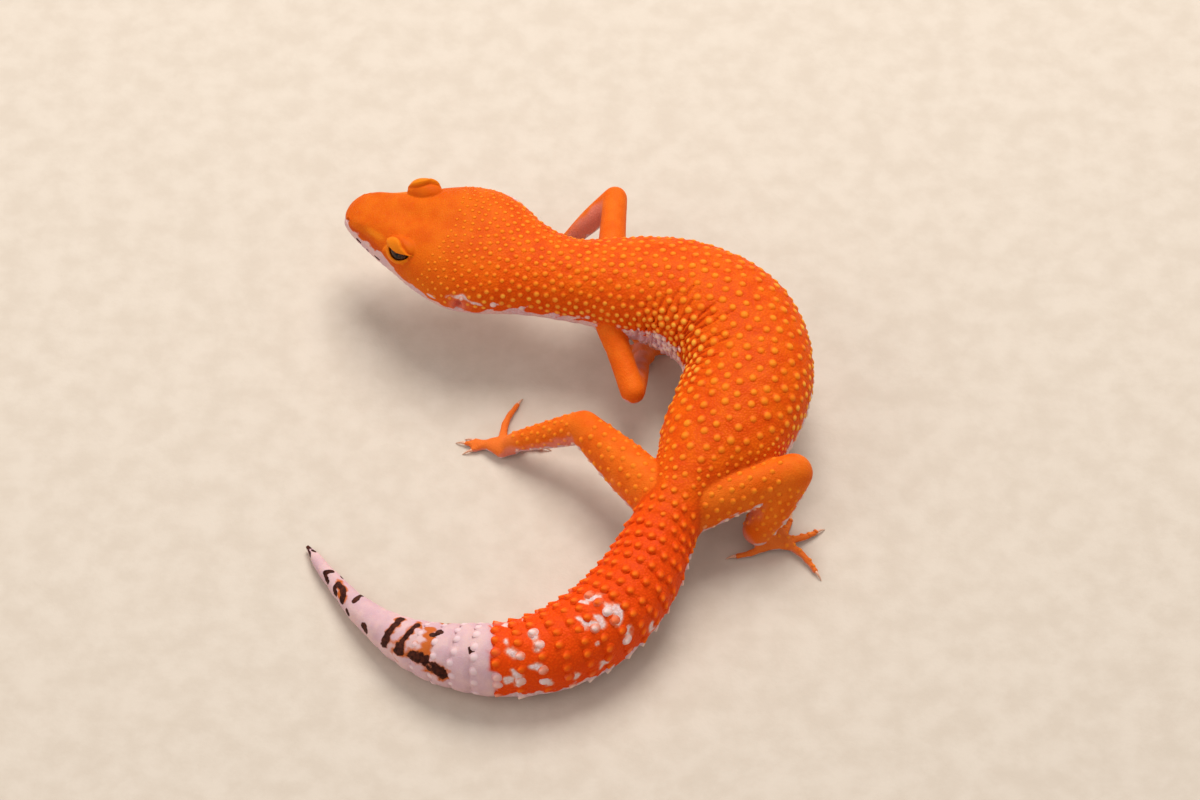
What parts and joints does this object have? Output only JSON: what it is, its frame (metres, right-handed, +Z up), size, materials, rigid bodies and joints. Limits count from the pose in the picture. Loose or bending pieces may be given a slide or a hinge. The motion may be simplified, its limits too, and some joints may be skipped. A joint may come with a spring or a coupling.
{
  "type": "leopard gecko",
  "caption": "Life-size still model of a standing leopard gecko, its body bent round and its fat banded tail swept to one side.",
  "frame": {"origin": "on the floor, below the middle of the animal's box", "axes": "+Z up from the floor; +Y along the longest side of the box, from the tail towards the head; -X is the side that the head and the tail point to"},
  "size_m": [0.0832, 0.0974, 0.0207],
  "materials": {
    "skin": "matt granular scales, bright orange with paler yellow tips, white belly, lilac and brown banded tail end",
    "eye": "wet dark brown eye, clear gloss",
    "claw": "smooth translucent horn"
  },
  "bodies": {
    "root": {"head": "skin", "jaw": "skin", "neck": "skin", "trunk_front": "skin", "trunk_middle": "skin", "trunk_rear": "skin", "tail_base": "skin", "tail_front": "skin", "tail_middle": "skin", "tail_tip": "skin", "eye_left": "eye", "eye_right": "eye", "front_left_upper": "skin", "front_left_lower": "skin", "front_left_foot": "skin", "front_left_claw_1": "claw", "front_left_claw_2": "claw", "front_left_claw_3": "claw", "front_left_claw_4": "claw", "front_left_claw_5": "claw", "front_right_upper": "skin", "front_right_lower": "skin", "front_right_foot": "skin", "front_right_claw_1": "claw", "front_right_claw_2": "claw", "front_right_claw_3": "claw", "front_right_claw_4": "claw", "front_right_claw_5": "claw", "hind_left_upper": "skin", "hind_left_lower": "skin", "hind_left_foot": "skin", "hind_left_claw_1": "claw", "hind_left_claw_2": "claw", "hind_left_claw_3": "claw", "hind_left_claw_4": "claw", "hind_left_claw_5": "claw", "hind_right_upper": "skin", "hind_right_lower": "skin", "hind_right_foot": "skin", "hind_right_claw_1": "claw", "hind_right_claw_2": "claw", "hind_right_claw_3": "claw", "hind_right_claw_4": "claw", "hind_right_claw_5": "claw"}
  },
  "joints": []
}
